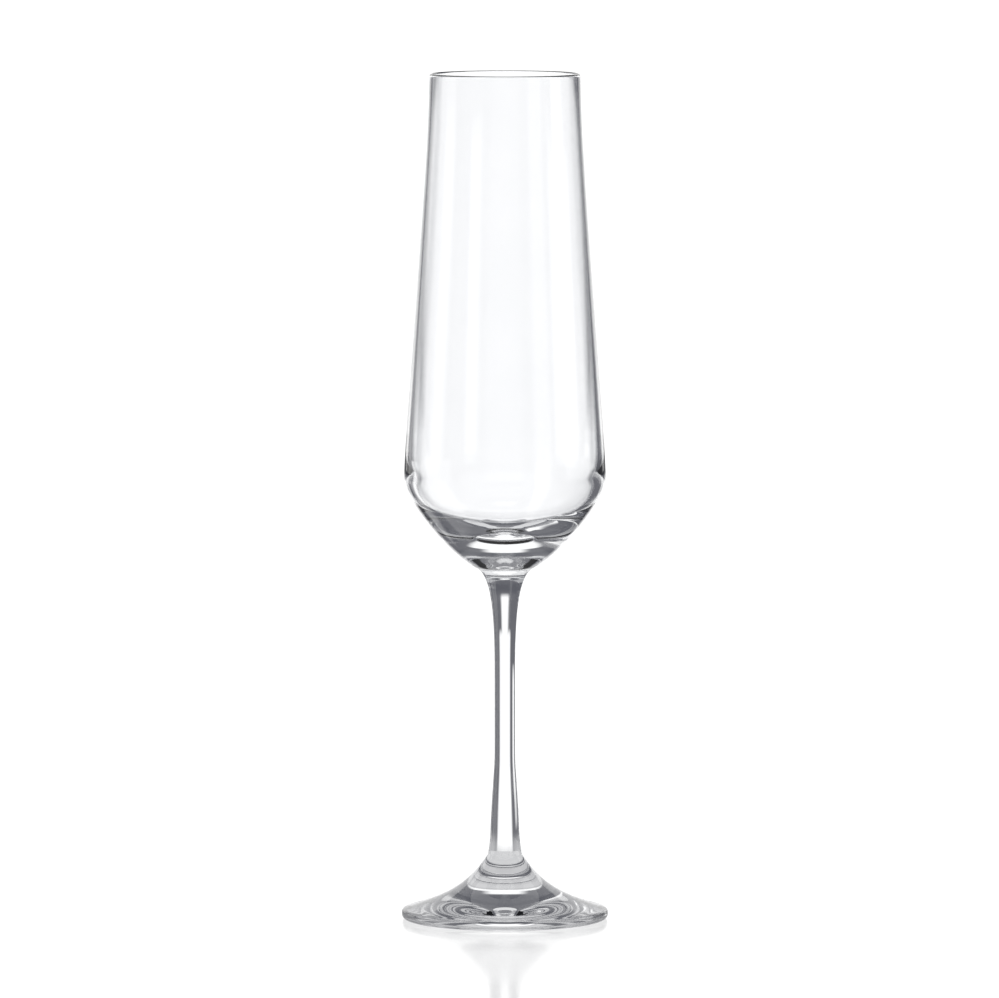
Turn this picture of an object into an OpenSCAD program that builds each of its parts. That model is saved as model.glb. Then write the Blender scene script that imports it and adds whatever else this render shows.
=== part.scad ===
// Champagne flute: a bowl, a drawn stem and a pressed foot, fused end to end.
// The origin is on the flute's own axis, in the plane that the foot stands on.

/* [Flute] */
// Height of the whole flute, from the table to the rim
flute_h = 250; // [235:1:275]

/* [Foot] */
// Diameter of the foot
foot_d = 61; // [56:0.5:70]
// Height at which the foot is fused to the stem
foot_h = 19.2; // [16:0.1:21]
// Thickness of the foot at its edge
foot_edge_h = 2.9; // [2.1:0.1:3.2]
// Width of the flat ring that the foot stands on
foot_ring_w = 1.3; // [1:0.1:4]
// Depth of the hollow in the underside, at the axis
foot_hollow = 1.6; // [0.6:0.1:2]

/* [Stem] */
// Diameter of the stem at its slimmest
stem_d = 6.1; // [5.4:0.1:7.2]
// Diameter of the stem where it is fused to the foot
stem_base_d = 10; // [9:0.1:12]
// Diameter of the stem where its taper meets the flare at the base
stem_knee_d = 8.6; // [7.6:0.1:9]
// Diameter of the stem where it is fused to the bowl
neck_d = 16.8; // [14:0.1:18]
// Height at which the stem is fused to the bowl
neck_h = 104.1; // [98:0.1:106]

/* [Bowl] */
// Outer diameter of the rim
rim_d = 44.5; // [40:0.1:50]
// Thickness of the wall just below the rim's lip
rim_wall = 1.1; // [0.9:0.1:1.8]
// Height of the rounded lip on top of the wall
rim_lip_h = 1.0; // [0.5:0.1:1.4]
// Outer diameter of the bowl at its shoulder, where it is widest
shoulder_d = 59.6; // [57:0.1:64]
// Height of the shoulder
shoulder_h = 131.6; // [129:0.1:137]
// Slope of the bowl's underside at the neck, measured from upright
underside_lean = 60.5; // [54:0.1:64]
// Diameter of the hollow at its widest
hollow_d = 55; // [50:0.1:55.5]
// Height at which the hollow is widest
hollow_wide_h = 136.4; // [134:0.1:142]
// Height of the lowest point of the hollow
hollow_floor_h = 114.5; // [112:0.1:118]

/* [Hidden] */
$fn = 96;
glass = [0.84, 0.9, 0.93, 0.45];
curve_steps = 14;

foot_r = foot_d / 2;
stem_r = stem_d / 2;
stem_base_r = stem_base_d / 2;
stem_knee_r = stem_knee_d / 2;
neck_r = neck_d / 2;
shoulder_r = shoulder_d / 2;
rim_r = rim_d / 2;
lip_r = rim_wall / 2;
lip_h = flute_h - rim_lip_h;

// The rounding of the foot's edge: below it, above it, and how far both lean on
edge_under = 1.2;
edge_over = 0.6;
edge_reach = 0.7;
edge_top_reach = 0.4;

// The stem's outline: the knee above the base flare, and the slim stretch
knee_h = foot_h + 7;
slim_low_h = knee_h + 23.4;
slim_high_h = neck_h - 31;

// Leans of the outline in degrees from upright, outwards positive, and reaches in
// millimetres that say how long the outline keeps to each lean
under_mid_reach = 13.7;
ring_lean = 99;
ring_reach = 6.7;
crown_lean = -74;
crown_reach = 15;
hub_lean = -33;
hub_reach = 9.3;
base_lean = -7;
base_reach = 2.8;
knee_lean = -2;
knee_low_reach = 3;
knee_high_reach = 12.5;
slim_low_reach = 6;
slim_high_reach = 18;
neck_low_reach = 5;
neck_high_reach = 10.2;
shoulder_low_reach = 7;
shoulder_high_reach = 8.5;
rim_lean = -0.8;
rim_reach = 28;
rim_inner_lean = 176.8;
rim_inner_reach = 33;
wide_high_reach = 9;
wide_low_reach = 16;
floor_reach = 15.5;

// A unit direction that leans from upright towards the outside, by angle a
function leaning(a) = [sin(a), cos(a)];

// A smooth stretch of outline from p to q, without p itself. It leaves p leaning at
// angle a and reaches q leaning at angle b; the reaches say how long each lean holds.
function curve(p, a, p_reach, q, b, q_reach, steps = curve_steps) =
    let (p_arm = p + p_reach * leaning(a), q_arm = q - q_reach * leaning(b))
    [for (i = [1 : steps])
        let (t = i / steps, s = 1 - t)
        s * s * s * p + 3 * s * s * t * p_arm + 3 * s * t * t * q_arm + t * t * t * q];

// The half turn of the rim's lip, from its outer side over the top to its inner side
function lip(steps = 14) =
    [for (i = [1 : steps])
        let (a = 180 * i / steps)
        [rim_r - lip_r + lip_r * cos(a), lip_h + rim_lip_h * sin(a)]];

module turned(outline) {
    rotate_extrude() polygon(outline);
}

module foot() {
    hollow_top = [0, foot_hollow];
    ring_outer = [foot_r - edge_under, 0];
    ring_inner = ring_outer - [foot_ring_w, 0];
    edge = [foot_r, foot_edge_h / 2];
    edge_top = [foot_r - edge_over, foot_edge_h];
    joint = [stem_base_r, foot_h];
    color(glass) turned(concat(
        [hollow_top],
        curve(hollow_top, 90, under_mid_reach, ring_inner, ring_lean, ring_reach, 10),
        [ring_outer],
        curve(ring_outer, 90, edge_reach, edge, 0, edge_reach, 6),
        curve(edge, 0, edge_reach, edge_top, crown_lean, edge_top_reach, 6),
        curve(edge_top, crown_lean, crown_reach, joint, hub_lean, hub_reach, 18),
        [[0, foot_h]]
    ));
}

module stem() {
    base = [stem_base_r, foot_h];
    knee = [stem_knee_r, knee_h];
    slim_low = [stem_r, slim_low_h];
    slim_high = [stem_r, slim_high_h];
    neck = [neck_r, neck_h];
    color(glass) turned(concat(
        [[0, foot_h], base],
        curve(base, base_lean, base_reach, knee, knee_lean, knee_low_reach, 6),
        curve(knee, knee_lean, knee_high_reach, slim_low, 0, slim_low_reach, 8),
        [slim_high],
        curve(slim_high, 0, slim_high_reach, neck, underside_lean, neck_low_reach, 18),
        [[0, neck_h]]
    ));
}

module bowl() {
    neck = [neck_r, neck_h];
    shoulder = [shoulder_r, shoulder_h];
    rim = [rim_r, lip_h];
    rim_inside = [rim_r - rim_wall, lip_h];
    wide = [hollow_d / 2, hollow_wide_h];
    hollow_floor = [0, hollow_floor_h];
    color(glass) turned(concat(
        [[0, neck_h], neck],
        curve(neck, underside_lean, neck_high_reach, shoulder, 0, shoulder_low_reach, 18),
        curve(shoulder, 0, shoulder_high_reach, rim, rim_lean, rim_reach, 18),
        lip(),
        curve(rim_inside, rim_inner_lean, rim_inner_reach, wide, 180, wide_high_reach),
        curve(wide, 180, wide_low_reach, hollow_floor, 270, floor_reach, 18)
    ));
}

foot();
stem();
bowl();
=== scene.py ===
"""Champagne flute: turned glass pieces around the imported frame, on a plain studio stage."""

import math
from collections import namedtuple

import bmesh
import bpy
from bpy.props import FloatProperty, FloatVectorProperty, IntProperty, PointerProperty
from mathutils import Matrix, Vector


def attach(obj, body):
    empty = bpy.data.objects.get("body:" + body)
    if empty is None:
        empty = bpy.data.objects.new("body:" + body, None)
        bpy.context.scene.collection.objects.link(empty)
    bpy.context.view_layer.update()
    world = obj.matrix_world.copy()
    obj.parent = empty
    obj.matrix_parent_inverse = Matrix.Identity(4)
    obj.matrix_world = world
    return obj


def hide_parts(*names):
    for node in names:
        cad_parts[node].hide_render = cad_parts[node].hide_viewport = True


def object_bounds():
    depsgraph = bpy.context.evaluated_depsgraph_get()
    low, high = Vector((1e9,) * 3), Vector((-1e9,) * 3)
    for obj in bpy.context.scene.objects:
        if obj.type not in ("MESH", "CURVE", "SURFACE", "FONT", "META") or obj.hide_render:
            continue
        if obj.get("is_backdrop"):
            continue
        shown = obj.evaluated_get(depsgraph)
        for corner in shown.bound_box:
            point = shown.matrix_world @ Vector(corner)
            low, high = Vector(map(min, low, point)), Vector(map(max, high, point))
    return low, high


bl_info = {
    "name": "Champagne Flute",
    "version": (1, 0, 0),
    "blender": (4, 5, 0),
    "location": "3D View > Sidebar > Flute",
    "description": "Turns the bowl, stem and foot of a champagne flute and sets its stage",
    "category": "Object",
}

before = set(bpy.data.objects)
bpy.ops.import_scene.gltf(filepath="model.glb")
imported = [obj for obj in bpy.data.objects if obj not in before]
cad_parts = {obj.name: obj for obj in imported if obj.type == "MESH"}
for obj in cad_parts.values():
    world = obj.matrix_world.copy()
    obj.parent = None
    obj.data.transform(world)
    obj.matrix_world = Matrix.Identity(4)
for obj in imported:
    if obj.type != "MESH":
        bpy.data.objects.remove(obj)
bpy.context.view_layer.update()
BODY = "root"

# Points of an outline that are nearer to each other than this are one point
WELD = 0.000004
# A point of an outline that is nearer to the axis than this is on it
ON_AXIS = 10 * WELD
# An outline has a corner where it turns by more than the first, and is straight where it
# turns by less than the second
CORNER_TURN = math.radians(35)
STRAIGHT_TURN = math.radians(0.3)
# How many times the length of the stretch beside it a tangent may hold
SPREAD = 3
# Rounds in which the tangents settle
SETTLING = 60
# The least number of steps in a curved stretch
CURVE_STEPS = 3
# A mark holds for an edge or a face when its average there is above this
MARKED = 0.99

# The haze on the glass: its seed after the ripple's, the noise at which it starts and is
# full, and how much deeper and dimmer the tint is there
HAZE_SEED = 5.0
HAZE_START, HAZE_FULL = 0.45, 0.75
HAZE_DEPTH, HAZE_DIM = 1.2, 0.992

# Compass directions of the stage, in degrees from +Y towards +X
NORTH, EAST, SOUTH, WEST = 0, 90, 180, -90
NORTH_WEST, SOUTH_EAST = -45, 135
# Half widths in degrees of the lighter ring's back and front parts, and of a whole turn
RING_BACK, RING_FRONT, ALL_ROUND = 70, 110, 180
# Heights or distances at which a light starts or ends when it has no edge of its own
START, END = -1, 9
# Half the lengths over which a light's near and far edges fade
EDGE_NEAR, EDGE_FAR = 0.02, 0.08
# Heights between which the wall darkens to the ceiling's colour
DUSK_LOW, DUSK_HIGH = 0.3, 0.6
# The plain floor's radius, and how far below it the lit floor lies and the walls reach
FLOOR_RADIUS = 40
GAP = 0.0002
WALL_SINK = 0.01
# Facets round the stage's discs and walls
SIDES = 96

Light = namedtuple("Light", "azimuth half near far glow fade", defaults=(EDGE_FAR,))


# ---------------------------------------------------------------- settings


class GlassSettings(bpy.types.PropertyGroup):
    """The glass that all three pieces are made of."""

    tint: FloatVectorProperty(
        name="Tint",
        description="Colour that the glass takes from light passing through it",
        subtype="COLOR", size=3, min=0, max=1, default=(0.985, 0.989, 0.996),
    )
    ior: FloatProperty(
        name="Refraction", description="Index of refraction of soda-lime glass",
        min=1.3, max=1.8, default=1.52,
    )
    polish: FloatProperty(
        name="Polish", description="Roughness of the fire-polished skin where it is haziest",
        min=0, max=0.2, default=0.012,
    )
    haze_size: FloatProperty(
        name="Haze Size", description="Width of the patches in which the polish varies",
        unit="LENGTH", min=0.001, max=0.1, default=0.018,
    )
    ripple: FloatProperty(
        name="Ripple", description="Height of the slow waves left in the skin by forming",
        unit="LENGTH", min=0, max=0.0002, default=0.000012, precision=6,
    )
    ripple_size: FloatProperty(
        name="Ripple Size", description="Distance from one slow wave to the next",
        unit="LENGTH", min=0.002, max=0.1, default=0.016,
    )


class TurningSettings(bpy.types.PropertyGroup):
    """How finely the outlines are turned into solids."""

    turns: IntProperty(
        name="Turns", description="Number of facets around the axis",
        min=24, max=360, default=224,
    )
    row: FloatProperty(
        name="Row", description="Longest step along an outline",
        unit="LENGTH", min=0.0003, max=0.01, default=0.0009, precision=5,
    )


class StageSettings(bpy.types.PropertyGroup):
    """The pale floor, the studio around it and the camera."""

    white: FloatProperty(
        name="White", description="Brightness of the floor and the lit panels",
        min=0, max=4, default=1.14,
    )
    shade: FloatVectorProperty(
        name="Shade", description="Colour of the dark flags between the panels",
        subtype="COLOR", size=3, min=0, max=1, default=(0.15, 0.152, 0.168),
    )
    ceiling: FloatVectorProperty(
        name="Ceiling", description="Colour of the unlit ceiling",
        subtype="COLOR", size=3, min=0, max=1, default=(0.11, 0.113, 0.13),
    )
    studio_radius: FloatProperty(
        name="Studio Radius", description="Distance from the flute to the studio wall",
        unit="LENGTH", min=1, max=10, default=2.2,
    )
    studio_height: FloatProperty(
        name="Studio Height", description="Height of the ceiling above the floor",
        unit="LENGTH", min=1, max=10, default=2.4,
    )
    clear_half: FloatProperty(
        name="Clear Half Width", description="Half the angle that the white behind the glass fills",
        subtype="ANGLE", min=0.05, max=0.7, default=math.radians(11),
    )
    clear_soft: FloatProperty(
        name="Clear Softness", description="Half the angle over which a panel's side edge fades",
        subtype="ANGLE", min=0.01, max=0.3, default=math.radians(4.2),
    )
    clear_top: FloatProperty(
        name="Clear Top", description="Height up to which the white behind the glass reaches",
        unit="LENGTH", min=0.1, max=5, default=0.36,
    )
    table_half: FloatProperty(
        name="Table Half Width", description="Half the angle that the white table fills",
        subtype="ANGLE", min=0.05, max=0.7, default=math.radians(21),
    )
    table_reach: FloatProperty(
        name="Table Reach", description="Distance to which the wide part of the table reaches",
        unit="LENGTH", min=0.2, max=3, default=1.75,
    )
    table_fade: FloatProperty(
        name="Table Fade", description="Half the length over which the wide part of the table ends",
        unit="LENGTH", min=0.01, max=1, default=0.45,
    )
    ring_width: FloatProperty(
        name="Ring Width", description="Height of the lighter ring round the top of the wall",
        unit="LENGTH", min=0.1, max=2, default=0.6,
    )
    ring_glow: FloatProperty(
        name="Ring Glow", description="Share of the white that the ring has behind the glass",
        min=0, max=1, default=0.65,
    )
    ring_dim: FloatProperty(
        name="Ring Dimmed", description="Share of the white that the ring has elsewhere",
        min=0, max=1, default=0.3,
    )
    ceiling_ring_width: FloatProperty(
        name="Ceiling Ring Width", description="Width of the lighter ring round the ceiling",
        unit="LENGTH", min=0.1, max=2, default=1.0,
    )
    # Painted shadow: the floor that the glass shows is dimmer in a disc by the foot, standing in for
    # the shadow the foot would cast there
    foot_shadow_glow: FloatProperty(
        name="Under Glow", description="Share of the white that the floor has by the foot",
        min=0, max=1, default=0.55,
    )
    # Painted shadow: radius of that dimmer disc by the foot; the lit table starts at its edge
    foot_shadow_radius: FloatProperty(
        name="Under Radius", description="Radius of the dimmer floor by the foot",
        unit="LENGTH", min=0.03, max=1, default=0.07,
    )
    corner_half: FloatProperty(
        name="Corner Half Width", description="Half the angle of the white patches across the corners",
        subtype="ANGLE", min=0.05, max=0.7, default=math.radians(8),
    )
    corner_near: FloatProperty(
        name="Corner Near", description="Distance at which the patch at the back left starts",
        unit="LENGTH", min=0.05, max=1, default=0.16,
    )
    corner_reach: FloatProperty(
        name="Corner Reach", description="Distance to which the patch at the back left reaches",
        unit="LENGTH", min=0.2, max=3, default=0.74,
    )
    front_reach: FloatProperty(
        name="Front Reach", description="Distance to which the patch at the front right reaches",
        unit="LENGTH", min=0.2, max=3, default=1.6,
    )
    box_radius: FloatProperty(
        name="Soft Box Radius", description="Radius of the round soft box overhead",
        unit="LENGTH", min=0.05, max=2, default=0.4,
    )
    box_height: FloatProperty(
        name="Soft Box Height", description="Height of the soft box above the floor",
        unit="LENGTH", min=0.5, max=5, default=2.0,
    )
    gloss: FloatProperty(
        name="Floor Gloss", description="Share of the floor's brightness that is mirrored",
        min=0, max=1, default=0.42,
    )
    gloss_blur: FloatProperty(
        name="Floor Blur", description="Roughness of the floor's mirror",
        min=0, max=1, default=0.12,
    )
    camera_distance: FloatProperty(
        name="Camera Distance", description="Distance from the flute's axis to the camera",
        unit="LENGTH", min=0.5, max=10, default=2.8,
    )
    camera_height: FloatProperty(
        name="Camera Height", description="Height of the camera above the floor",
        unit="LENGTH", min=0, max=5, default=0.3684,
    )
    camera_lens: FloatProperty(
        name="Lens", description="Focal length of the camera", subtype="DISTANCE_CAMERA",
        min=50, max=800, default=343.4,
    )
    aim_aside: FloatProperty(
        name="Aim Aside", description="How far to the left of the axis the camera aims",
        unit="LENGTH", min=-0.05, max=0.05, default=0.0016, precision=5,
    )
    aim_height: FloatProperty(
        name="Aim Height", description="Height at which the camera aims",
        unit="LENGTH", min=0, max=0.4, default=0.1245, precision=5,
    )


class MirrorSettings(bpy.types.PropertyGroup):
    """The white panels that the glass mirrors and that aren't seen through it."""

    back_half: FloatProperty(
        name="Back Half Width", description="Half the angle of the panel behind the glass",
        subtype="ANGLE", min=0.05, max=1.5, default=math.radians(30),
    )
    back_top: FloatProperty(
        name="Back Top", description="Height of the panels at the back and at the front right",
        unit="LENGTH", min=0.1, max=5, default=1.2,
    )
    side_top: FloatProperty(
        name="Side Top", description="Height of the panels at the sides and at the back left",
        unit="LENGTH", min=0.1, max=5, default=1.7,
    )
    right_half: FloatProperty(
        name="Right Half Width", description="Half the angle of the panel on the right",
        subtype="ANGLE", min=0.05, max=1.5, default=math.radians(20.5),
    )
    right_turn: FloatProperty(
        name="Right Turn", description="How far the panel on the right stands towards the back",
        subtype="ANGLE", min=0, max=1.5, default=math.radians(4.5),
    )
    left_half: FloatProperty(
        name="Left Half Width", description="Half the angle of the panel on the left",
        subtype="ANGLE", min=0.05, max=1.5, default=math.radians(16),
    )
    left_turn: FloatProperty(
        name="Left Turn", description="How far the panel on the left stands towards the back",
        subtype="ANGLE", min=0, max=1.5, default=math.radians(6),
    )
    corner_half: FloatProperty(
        name="Corner Half Width", description="Half the angle of the panels across the corners",
        subtype="ANGLE", min=0.05, max=1.5, default=math.radians(10),
    )
    front_half: FloatProperty(
        name="Front Half Width", description="Half the angle of the dim panel in front",
        subtype="ANGLE", min=0.05, max=1.5, default=math.radians(20),
    )
    front_top: FloatProperty(
        name="Front Top", description="Height of the dim panel in front",
        unit="LENGTH", min=0.1, max=5, default=1.0,
    )
    front_glow: FloatProperty(
        name="Front Glow", description="Share of the white that the panel in front has",
        min=0, max=1, default=0.4,
    )


# ---------------------------------------------------------------- node trees


class Socket:
    """An output in a node tree. Arithmetic on it adds Math nodes."""

    def __init__(self, tree, output):
        self.tree = tree
        self.output = output

    def math(self, operation, first, second=0.0):
        return self.tree.add("ShaderNodeMath", {"operation": operation}, {0: first, 1: second})

    def __add__(self, other):
        return self.math("ADD", self, other)

    def __radd__(self, other):
        return self.math("ADD", other, self)

    def __sub__(self, other):
        return self.math("SUBTRACT", self, other)

    def __rsub__(self, other):
        return self.math("SUBTRACT", other, self)

    def __mul__(self, other):
        return self.math("MULTIPLY", self, other)

    def __rmul__(self, other):
        return self.math("MULTIPLY", other, self)

    def __truediv__(self, other):
        return self.math("DIVIDE", self, other)

    def __rtruediv__(self, other):
        return self.math("DIVIDE", other, self)

    def __mod__(self, other):
        return self.math("FLOORED_MODULO", self, other)

    def __rmod__(self, other):
        return self.math("FLOORED_MODULO", other, self)

    def __abs__(self):
        return self.math("ABSOLUTE", self)

    def __gt__(self, other):
        return self.math("GREATER_THAN", self, other)

    def __lt__(self, other):
        return self.math("LESS_THAN", self, other)


class Tree:
    """A node tree to which nodes are added: settings first, then values or links."""

    def __init__(self, tree):
        self.tree = tree

    def add(self, kind, settings=None, sockets=None, output=0):
        node = self.tree.nodes.new(kind)
        for name, value in (settings or {}).items():
            setattr(node, name, value)
        for name, value in (sockets or {}).items():
            self.feed(node.inputs[name], value)
        return Socket(self, node.outputs[output]) if len(node.outputs) else node

    def feed(self, socket, value):
        if isinstance(value, Socket):
            self.tree.links.new(value.output, socket)
        else:
            socket.default_value = value

    def fade(self, value, low, high, at_low=0.0, at_high=1.0):
        """A smooth change from at_low to at_high as value goes from low to high."""
        return self.add(
            "ShaderNodeMapRange", {"interpolation_type": "SMOOTHSTEP"},
            {"Value": value, "From Min": low, "From Max": high, "To Min": at_low, "To Max": at_high},
        )

    def mix(self, factor, first, second, clamp=True):
        return self.add(
            "ShaderNodeMix", {"data_type": "RGBA", "clamp_factor": clamp},
            {0: factor, 6: first, 7: second}, output=2,
        )


def new_material(name):
    material = bpy.data.materials.new(name)
    material.use_nodes = True
    material.node_tree.nodes.clear()
    return material, Tree(material.node_tree)


# ---------------------------------------------------------------- materials


def glass_material(name, settings, seed):
    """Clear fire-polished glass with a slow ripple and faint patches of haze."""
    material, tree = new_material(name)
    place = tree.add("ShaderNodeTexCoord", output="Object")
    ripple = tree.add(
        "ShaderNodeTexNoise", {"noise_dimensions": "4D"},
        {"Vector": place, "W": seed, "Scale": 1 / settings.ripple_size, "Detail": 1.0,
         "Roughness": 0.35},
    )
    haze = tree.add(
        "ShaderNodeTexNoise", {"noise_dimensions": "4D"},
        {"Vector": place, "W": seed + HAZE_SEED, "Scale": 1 / settings.haze_size,
         "Detail": 3.0, "Roughness": 0.5},
    )
    hazy = tree.fade(haze, HAZE_START, HAZE_FULL)
    bump = tree.add(
        "ShaderNodeBump", None,
        {"Height": ripple, "Strength": 1.0, "Distance": settings.ripple},
    )
    clear = (*settings.tint, 1.0)
    faint = (*[HAZE_DIM * c**HAZE_DEPTH for c in settings.tint], 1.0)
    skin = tree.add(
        "ShaderNodeBsdfPrincipled", None,
        {"Base Color": tree.mix(hazy, clear, faint), "Roughness": hazy * settings.polish,
         "IOR": settings.ior, "Transmission Weight": 1.0, "Normal": bump},
    )
    tree.add("ShaderNodeOutputMaterial", None, {"Surface": skin})
    return material


def fused_joint_material():
    """The flat face where two pieces are fused: the glass is one there, so it can't be seen."""
    material, tree = new_material("fused_joint")
    skin = tree.add(
        "ShaderNodeBsdfPrincipled", None,
        {"Base Color": (0.95, 0.97, 0.98, 1), "Roughness": 0.05, "Alpha": 0.0},
    )
    tree.add("ShaderNodeOutputMaterial", None, {"Surface": skin})
    return material


# ---------------------------------------------------------------- outlines


def read_outline(node):
    """The corners of a turned CAD node's outline, from pole to pole, as (radius, height)."""
    flat = bmesh.new()
    flat.from_mesh(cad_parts[node].data)
    for vertex in flat.verts:
        vertex.co = (math.hypot(vertex.co.x, vertex.co.y), 0, vertex.co.z)
    bmesh.ops.remove_doubles(flat, verts=flat.verts, dist=WELD)
    poles = sorted((v for v in flat.verts if v.co.x < ON_AXIS), key=lambda v: v.co.z)
    lowest = min(flat.verts, key=lambda v: (v.co.z, v.co.x))
    here = poles[0] if poles else lowest
    seen = {here}
    path = [here.co.copy()]
    while True:
        near = [e.other_vert(here) for e in here.link_edges]
        near = [v for v in near if v not in seen]
        if not near:
            break
        here = min(near, key=lambda v: (v.co - path[-1]).length)
        seen.add(here)
        path.append(here.co.copy())
    flat.free()
    return [Vector((p.x, p.z)) for p in path]


def turn_at(points, i):
    """How sharply the outline turns at a point, in radians."""
    into = points[i] - points[i - 1]
    out = points[i + 1] - points[i]
    return into.angle(out, 0.0)


def without_straight_points(points):
    """Leaves out the points that lie on a straight stretch between their neighbours."""
    kept = [points[0]]
    for i in range(1, len(points) - 1):
        if (points[i] - kept[-1]).angle(points[i + 1] - points[i], 0.0) > STRAIGHT_TURN:
            kept.append(points[i])
    return kept + [points[-1]]


def reach_axis(points):
    """Adds the points on the axis that close the outline at its two ends."""
    closed = [p.copy() for p in points]
    for end in (0, -1):
        if closed[end].x > ON_AXIS:
            closed.insert(0 if end == 0 else len(closed), Vector((0, closed[end].y)))
        closed[end].x = 0
    return closed


def spline_tangents(points, corners):
    """The tangents with which a line arrives at and leaves each point.

    Between corners they make its curvature run on without a jump. At the axis the line
    goes on into its own mirror image.
    """
    last = len(points) - 1
    chords = [points[i + 1] - points[i] for i in range(last)]
    first = Vector((chords[0].x, -chords[0].y))
    final = Vector((chords[-1].x, -chords[-1].y))
    arriving = [chord.normalized() for chord in [first] + chords]
    leaving = [chord.normalized() for chord in chords + [final]]
    mirror = Vector((1, -1))
    for _ in range(SETTLING):
        for i in range(last + 1):
            before = chords[i - 1] if i > 0 else first
            after = chords[i] if i < last else final
            low = leaving[i - 1] if i > 0 else arriving[1] * mirror
            high = arriving[i + 1] if i < last else leaving[last - 1] * mirror
            a, b = before.length, after.length
            if i in corners:
                arriving[i] = (3 / a * before - low) / 2
                leaving[i] = (3 / b * after - high) / 2
            else:
                pull = 3 / a**2 * before + 3 / b**2 * after - low / a - high / b
                arriving[i] = leaving[i] = pull / (2 / a + 2 / b)
    return arriving, leaving


def smooth_outline(points, row):
    """A smooth curve through the outline's points, which keeps its sharp corners.

    The straight stretch between the axis and a corner is the flat face of a fused joint. A
    tangent holds no longer than SPREAD times the next stretch, so that long and short ones
    meet without a bulge. Returns the points and the places of the corners among them.
    """
    last = len(points) - 1
    corners = [i for i in range(1, last) if turn_at(points, i) > CORNER_TURN]
    arriving, leaving = spline_tangents(points, corners)

    def length(i):
        return (points[i + 1] - points[i]).length if 0 <= i < last else math.inf

    low = min(p.y for p in points)
    high = max(p.y for p in points)
    wide = max(p.x for p in points)
    smooth, places = [points[0].copy()], []
    for i in range(last):
        p, q = points[i], points[i + 1]
        chord = (q - p).length
        flat = (i == 0 and 1 in corners) or (i + 1 == last and i in corners)
        steps = 1 if flat else max(CURVE_STEPS, math.ceil(chord / row))
        p_arm = leaving[i] * min(chord, SPREAD * length(i - 1))
        q_arm = arriving[i + 1] * min(chord, SPREAD * length(i + 1))
        for k in range(1, steps + 1):
            t = k / steps
            smooth.append(
                (2 * t**3 - 3 * t**2 + 1) * p + (t**3 - 2 * t**2 + t) * p_arm
                + (3 * t**2 - 2 * t**3) * q + (t**3 - t**2) * q_arm
            )
        if i + 1 in corners:
            places.append(len(smooth) - 1)
    return [Vector((min(max(p.x, 0), wide), min(max(p.y, low), high))) for p in smooth], places


def outline_object(node, row):
    """A wire in the XZ plane with the node's smooth outline, marked with its fused joints."""
    points, corners = smooth_outline(reach_axis(without_straight_points(read_outline(node))), row)
    mesh = bpy.data.meshes.new(node + "_outline")
    mesh.from_pydata([(p.x, 0, p.y) for p in points], [(i, i + 1) for i in range(len(points) - 1)], [])
    corner = mesh.attributes.new("corner", "FLOAT", "POINT")
    joint = mesh.attributes.new("joint", "FLOAT", "POINT")
    for i in corners:
        corner.data[i].value = 1
        joint.data[i].value = 1
        axis_end = 0 if i == 1 else len(points) - 1
        joint.data[axis_end].value = 1
    outline = bpy.data.objects.new(node + "_outline", mesh)
    bpy.context.scene.collection.objects.link(outline)
    return outline


# ---------------------------------------------------------------- turning


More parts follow.
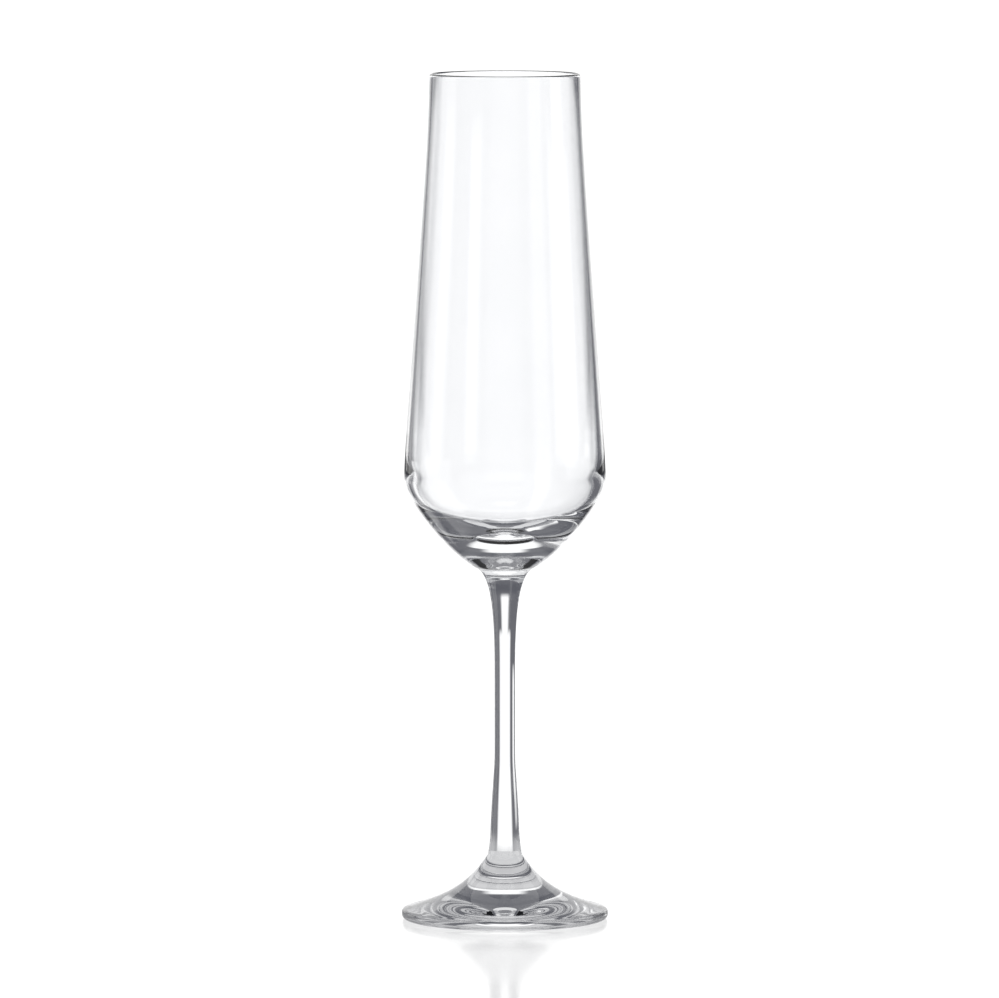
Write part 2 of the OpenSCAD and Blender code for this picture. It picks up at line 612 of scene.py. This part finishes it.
def turned_glass_tree():
    """Geometry nodes that turn an outline about Z into a closed, smooth solid."""
    group = bpy.data.node_groups.new("Turned Glass", "GeometryNodeTree")
    sockets = {}
    for name, kind in (("Outline", "NodeSocketGeometry"), ("Turns", "NodeSocketInt"),
                       ("Weld", "NodeSocketFloat"), ("Glass", "NodeSocketMaterial"),
                       ("Joint", "NodeSocketMaterial")):
        sockets[name] = group.interface.new_socket(name, in_out="INPUT", socket_type=kind)
    group.interface.new_socket("Solid", in_out="OUTPUT", socket_type="NodeSocketGeometry")
    tree = Tree(group)
    inputs = group.nodes.new("NodeGroupInput")
    outline, turns, weld, glass, joint = [Socket(tree, inputs.outputs[n]) for n in sockets]

    rows = tree.add("GeometryNodeAttributeDomainSize", None, {"Geometry": outline})
    sheet = tree.add("GeometryNodeMeshGrid", None, {"Vertices X": turns + 1, "Vertices Y": rows})
    index = tree.add("GeometryNodeInputIndex")
    row = index % rows
    column = ((index - row) / rows) % turns
    angle = column * math.tau / turns

    def along(field, kind="FLOAT"):
        return tree.add(
            "GeometryNodeSampleIndex", {"data_type": kind},
            {"Geometry": outline, "Value": field, "Index": row},
        )

    def mark(name):
        return tree.add("GeometryNodeInputNamedAttribute", {"data_type": "FLOAT"}, {"Name": name})

    def on(domain, field):
        return tree.add("GeometryNodeFieldOnDomain", {"domain": domain}, {"Value": field})

    place = along(tree.add("GeometryNodeInputPosition"), "FLOAT_VECTOR")
    radius = tree.add("ShaderNodeSeparateXYZ", None, {0: place})
    height = Socket(tree, radius.output.node.outputs["Z"])
    turned = tree.add(
        "ShaderNodeCombineXYZ", None,
        {"X": radius * angle.math("COSINE", angle), "Y": radius * angle.math("SINE", angle),
         "Z": height},
    )
    marked = sheet
    for name in ("corner", "joint"):
        marked = tree.add(
            "GeometryNodeStoreNamedAttribute", {"data_type": "FLOAT", "domain": "POINT"},
            {"Geometry": marked, "Name": "turned_" + name, "Value": along(mark(name))},
        )
    solid = tree.add("GeometryNodeSetPosition", None, {"Geometry": marked, "Position": turned})
    solid = tree.add("GeometryNodeMergeByDistance", None, {"Geometry": solid, "Distance": weld})
    sharp = on("EDGE", mark("turned_corner")) > MARKED
    solid = tree.add(
        "GeometryNodeStoreNamedAttribute", {"data_type": "BOOLEAN", "domain": "EDGE"},
        {"Geometry": solid, "Name": "sharp_edge", "Value": sharp},
    )
    solid = tree.add("GeometryNodeSetShadeSmooth", None, {"Geometry": solid, "Shade Smooth": True})
    solid = tree.add("GeometryNodeRealizeInstances", None, {"Geometry": solid})
    solid = tree.add("GeometryNodeSetMaterial", None, {"Geometry": solid, "Material": glass})
    fused = on("FACE", mark("turned_joint")) > MARKED
    solid = tree.add(
        "GeometryNodeSetMaterial", None,
        {"Geometry": solid, "Selection": fused, "Material": joint},
    )
    outputs = group.nodes.new("NodeGroupOutput")
    tree.feed(outputs.inputs["Solid"], solid)
    return group, {name: socket.identifier for name, socket in sockets.items()}


def turn_piece(name, node, glass):
    """Turns a CAD node's smooth outline into a plain mesh piece that stands for the node."""
    turning = bpy.context.scene.flute_turning
    outline = outline_object(node, turning.row)
    group, sockets = turned_glass_tree()
    modifier = outline.modifiers.new("Turned Glass", "NODES")
    modifier.node_group = group
    modifier[sockets["Turns"]] = turning.turns
    modifier[sockets["Weld"]] = WELD / 4
    modifier[sockets["Glass"]] = glass
    modifier[sockets["Joint"]] = bpy.data.materials.get("fused_joint") or fused_joint_material()
    bpy.context.view_layer.update()
    turned = outline.evaluated_get(bpy.context.evaluated_depsgraph_get())
    mesh = bpy.data.meshes.new_from_object(turned)
    mesh.name = name
    if mesh.materials[0] is None:
        mesh.materials.pop(index=0)
    for attribute in [a.name for a in mesh.attributes if a.name.startswith("turned_")]:
        mesh.attributes.remove(mesh.attributes[attribute])
    bpy.data.objects.remove(outline)
    face_outwards(mesh)
    piece = bpy.data.objects.new(name, mesh)
    bpy.context.scene.collection.objects.link(piece)
    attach(piece, BODY)
    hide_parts(node)
    return piece


def face_outwards(mesh):
    """Turns the whole closed mesh round if its faces look inwards, and checks it is closed."""
    solid = bmesh.new()
    solid.from_mesh(mesh)
    if any(not edge.is_manifold for edge in solid.edges):
        raise RuntimeError(mesh.name + " is not a closed solid")
    if solid.calc_volume(signed=True) < 0:
        bmesh.ops.reverse_faces(solid, faces=solid.faces)
    solid.to_mesh(mesh)
    solid.free()


class FLUTE_OT_bowl(bpy.types.Operator):
    """Turn the blown bowl, with its rounded lip and thick base"""

    bl_idname = "flute.bowl"
    bl_label = "Bowl"

    def execute(self, context):
        glass = glass_material("bowl_glass_clear", context.scene.flute_glass, seed=1.0)
        bowl = turn_piece("blown_bowl", "bowl", glass)
        return {"FINISHED"}


class FLUTE_OT_stem(bpy.types.Operator):
    """Turn the drawn stem"""

    bl_idname = "flute.stem"
    bl_label = "Stem"

    def execute(self, context):
        glass = glass_material("stem_glass_clear", context.scene.flute_glass, seed=2.0)
        stem = turn_piece("drawn_stem", "stem", glass)
        return {"FINISHED"}


class FLUTE_OT_foot(bpy.types.Operator):
    """Turn the pressed foot, with its hub and hollow underside"""

    bl_idname = "flute.foot"
    bl_label = "Foot"

    def execute(self, context):
        glass = glass_material("foot_glass_clear", context.scene.flute_glass, seed=3.0)
        foot = turn_piece("pressed_foot", "foot", glass)
        return {"FINISHED"}


# ---------------------------------------------------------------- stage


def stage_piece(name, mesh, material, camera=True, glossy=True, transmission=True):
    mesh.materials.append(material)
    piece = bpy.data.objects.new(name, mesh)
    bpy.context.scene.collection.objects.link(piece)
    piece.visible_camera = camera
    piece.visible_glossy = glossy
    piece.visible_transmission = transmission
    piece.visible_diffuse = False
    piece.visible_shadow = False
    piece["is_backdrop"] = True
    return piece


def disc_mesh(name, radius, height):
    disc = bmesh.new()
    bmesh.ops.create_circle(disc, cap_ends=True, segments=SIDES, radius=radius)
    bmesh.ops.translate(disc, verts=disc.verts, vec=(0, 0, height))
    mesh = bpy.data.meshes.new(name)
    disc.to_mesh(mesh)
    disc.free()
    return mesh


def wall_mesh(name, radius, low, high):
    wall = bmesh.new()
    bmesh.ops.create_cone(
        wall, cap_ends=False, segments=SIDES, radius1=radius, radius2=radius, depth=high - low,
    )
    bmesh.ops.translate(wall, verts=wall.verts, vec=(0, 0, (low + high) / 2))
    mesh = bpy.data.meshes.new(name)
    wall.to_mesh(mesh)
    wall.free()
    return mesh


def floor_material(settings):
    """A white gloss table top: evenly lit, with a share of mirror in it."""
    material, tree = new_material("white_gloss_floor")
    glow = tree.add(
        "ShaderNodeEmission", None,
        {"Color": (1, 1, 1, 1), "Strength": settings.white * (1 - settings.gloss)},
    )
    mirror = tree.add(
        "ShaderNodeBsdfGlossy", None,
        {"Color": (settings.gloss,) * 3 + (1,), "Roughness": settings.gloss_blur},
    )
    both = tree.add("ShaderNodeAddShader", None, {0: glow, 1: mirror})
    tree.add("ShaderNodeOutputMaterial", None, {"Surface": both})
    return material


def studio_material(name, settings, reach, lights):
    """Dark surroundings with soft-edged lights in them.

    A light's azimuth and half width are in degrees. On a wall its near and far edges are
    heights; on a level disc they are distances from the axis. Fade is half the length over
    which the far edge dies away.
    """
    material, tree = new_material(name)
    place = tree.add("ShaderNodeTexCoord", output="Object")
    x = tree.add("ShaderNodeSeparateXYZ", None, {0: place})
    y, z = (Socket(tree, x.output.node.outputs[axis]) for axis in "YZ")
    azimuth = x.math("ARCTAN2", x, y) * math.degrees(1)
    if reach == "HEIGHT":
        span = z
    else:
        square = x * x + y * y
        span = square.math("SQRT", square)
    soft = math.degrees(settings.clear_soft)
    lit = 0.0
    for light in lights:
        aside = abs((azimuth - light.azimuth + 180) % 360 - 180)
        across = tree.fade(aside, light.half + soft, light.half - soft)
        along = tree.fade(span, light.near - EDGE_NEAR, light.near + EDGE_NEAR)
        along = along * tree.fade(span, light.far + light.fade, light.far - light.fade)
        shine = across * along * light.glow
        lit = shine.math("MAXIMUM", shine, lit)
    dark = (*settings.shade, 1)
    if reach == "HEIGHT":
        dark = tree.mix(tree.fade(z, DUSK_LOW, DUSK_HIGH), dark, (*settings.ceiling, 1))
    white = (settings.white,) * 3 + (1,)
    colour = tree.mix(lit, dark, white, clamp=False)
    glow = tree.add("ShaderNodeEmission", None, {"Color": colour, "Strength": 1.0})
    tree.add("ShaderNodeOutputMaterial", None, {"Surface": glow})
    return material


def plain_glow_material(name, colour):
    material, tree = new_material(name)
    glow = tree.add("ShaderNodeEmission", None, {"Color": (*colour, 1), "Strength": 1.0})
    tree.add("ShaderNodeOutputMaterial", None, {"Surface": glow})
    return material


class FLUTE_OT_stage(bpy.types.Operator):
    """Set the floor, the studio around it and the camera"""

    bl_idname = "flute.stage"
    bl_label = "Stage"

    def execute(self, context):
        scene = context.scene
        settings = scene.flute_stage
        low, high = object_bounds()
        self.lay_floor(settings, low.z)
        self.build_walls(settings, scene.flute_mirror, low.z)
        self.hang_ceiling(settings)
        self.set_world(scene, settings)
        self.set_camera(scene, settings, (low + high) / 2)
        self.set_rendering(scene)
        return {"FINISHED"}

    def lay_floor(self, settings, level):
        """The plain floor for the camera, and below it the lit one that the glass shows, with a
        painted shadow by the foot.
        """
        stage_piece(
            "floor", disc_mesh("floor", FLOOR_RADIUS, level), floor_material(settings),
            glossy=False, transmission=False,
        )
        half = math.degrees(settings.clear_half)
        table = math.degrees(settings.table_half)
        corner = math.degrees(settings.corner_half)
        under, reach = settings.foot_shadow_radius, settings.table_reach
        stage_piece(
            "floor_around_glass",
            disc_mesh("floor_around_glass", settings.studio_radius, level - GAP),
            studio_material("floor_around_glass", settings, "DISTANCE", (
                Light(NORTH, table, under, reach, 1, settings.table_fade),
                Light(WEST, table, under, reach, 1, settings.table_fade),
                Light(NORTH, half, under, END, 1),
                Light(WEST, half, under, END, 1),
                # Painted shadow: the disc by the foot glows at only this share of the white, in place
                # of the foot's shadow
                Light(NORTH, ALL_ROUND, START, under, settings.foot_shadow_glow),
                Light(NORTH_WEST, corner, settings.corner_near, settings.corner_reach, 1),
                Light(SOUTH_EAST, corner, under, settings.front_reach, 1),
            )),
            camera=False,
        )

    def build_walls(self, settings, mirror, level):
        """One wall that is seen through the glass and one that is mirrored in it."""
        radius, foot, height = settings.studio_radius, level - WALL_SINK, settings.studio_height
        half, top = math.degrees(settings.clear_half), settings.clear_top
        ring = height - settings.ring_width
        stage_piece(
            "wall_behind_glass", wall_mesh("wall_behind_glass", radius, foot, height),
            studio_material("wall_behind_glass", settings, "HEIGHT", (
                Light(NORTH, half, START, top, 1),
                Light(WEST, half, START, top, 1),
                Light(NORTH, RING_BACK, ring, END, settings.ring_glow),
                Light(SOUTH, RING_FRONT, ring, END, settings.ring_dim),
            )),
            camera=False, glossy=False,
        )
        right = EAST - math.degrees(mirror.right_turn)
        left = WEST + math.degrees(mirror.left_turn)
        corner = math.degrees(mirror.corner_half)
        stage_piece(
            "wall_in_gloss", wall_mesh("wall_in_gloss", radius, foot, height),
            studio_material("wall_in_gloss", settings, "HEIGHT", (
                Light(NORTH, math.degrees(mirror.back_half), START, mirror.back_top, 1),
                Light(right, math.degrees(mirror.right_half), START, mirror.side_top, 1),
                Light(SOUTH, math.degrees(mirror.front_half), START, mirror.front_top,
                      mirror.front_glow),
                Light(left, math.degrees(mirror.left_half), START, mirror.side_top, 1),
                Light(NORTH_WEST, corner, START, mirror.side_top, 1),
                Light(SOUTH_EAST, corner, START, mirror.back_top, 1),
            )),
            camera=False, transmission=False,
        )

    def hang_ceiling(self, settings):
        """The dark ceiling with its lighter ring, and the round soft box below it."""
        radius = settings.studio_radius
        ring = radius - settings.ceiling_ring_width
        stage_piece(
            "studio_ceiling", disc_mesh("studio_ceiling", radius, settings.studio_height),
            studio_material("studio_ceiling", settings, "DISTANCE", (
                Light(NORTH, RING_BACK, ring, END, settings.ring_glow),
                Light(SOUTH, RING_FRONT, ring, END, settings.ring_dim),
            )),
            camera=False,
        )
        stage_piece(
            "soft_box", disc_mesh("soft_box", settings.box_radius, settings.box_height),
            plain_glow_material("soft_box", (settings.white,) * 3), camera=False,
        )

    def set_world(self, scene, settings):
        world = bpy.data.worlds.new("studio_white")
        world.use_nodes = True
        background = world.node_tree.nodes["Background"]
        background.inputs["Color"].default_value = (1, 1, 1, 1)
        background.inputs["Strength"].default_value = settings.white
        scene.world = world

    def set_camera(self, scene, settings, middle):
        camera = bpy.data.cameras.new("camera")
        camera.lens = settings.camera_lens
        camera.sensor_width = 36
        camera.clip_end = 100
        viewer = bpy.data.objects.new("camera", camera)
        scene.collection.objects.link(viewer)
        viewer.location = (middle.x, middle.y - settings.camera_distance, settings.camera_height)
        aim = Vector((middle.x - settings.aim_aside, middle.y, settings.aim_height))
        viewer.rotation_euler = (aim - viewer.location).to_track_quat("-Z", "Y").to_euler()
        scene.camera = viewer

    def set_rendering(self, scene):
        scene.view_settings.view_transform = "Standard"
        scene.cycles.use_denoising = True
        scene.cycles.max_bounces = 32
        scene.cycles.transmission_bounces = 32
        scene.cycles.glossy_bounces = 16
        scene.cycles.transparent_max_bounces = 32


class FLUTE_PT_panel(bpy.types.Panel):
    """The flute's settings and the steps that build it"""

    bl_label = "Champagne Flute"
    bl_space_type = "VIEW_3D"
    bl_region_type = "UI"
    bl_category = "Flute"

    def draw(self, context):
        layout = self.layout
        for group in GROUPS:
            layout.label(text=group.removeprefix("flute_").capitalize())
            settings = getattr(context.scene, group)
            for name in settings.__annotations__:
                layout.prop(settings, name)
        for operator in STEPS:
            layout.operator(operator.bl_idname)


GROUPS = {
    "flute_glass": GlassSettings, "flute_turning": TurningSettings,
    "flute_stage": StageSettings, "flute_mirror": MirrorSettings,
}
STEPS = (FLUTE_OT_bowl, FLUTE_OT_stem, FLUTE_OT_foot, FLUTE_OT_stage)


def register():
    for group in (*GROUPS.values(), *STEPS, FLUTE_PT_panel):
        bpy.utils.register_class(group)
    for name, group in GROUPS.items():
        setattr(bpy.types.Scene, name, PointerProperty(type=group))


def unregister():
    for name in GROUPS:
        delattr(bpy.types.Scene, name)
    for group in reversed((*GROUPS.values(), *STEPS, FLUTE_PT_panel)):
        bpy.utils.unregister_class(group)


def main():
    register()
    bpy.ops.flute.bowl()
    bpy.ops.flute.stem()
    bpy.ops.flute.foot()
    bpy.ops.flute.stage()


if __name__ == "__main__":
    main()
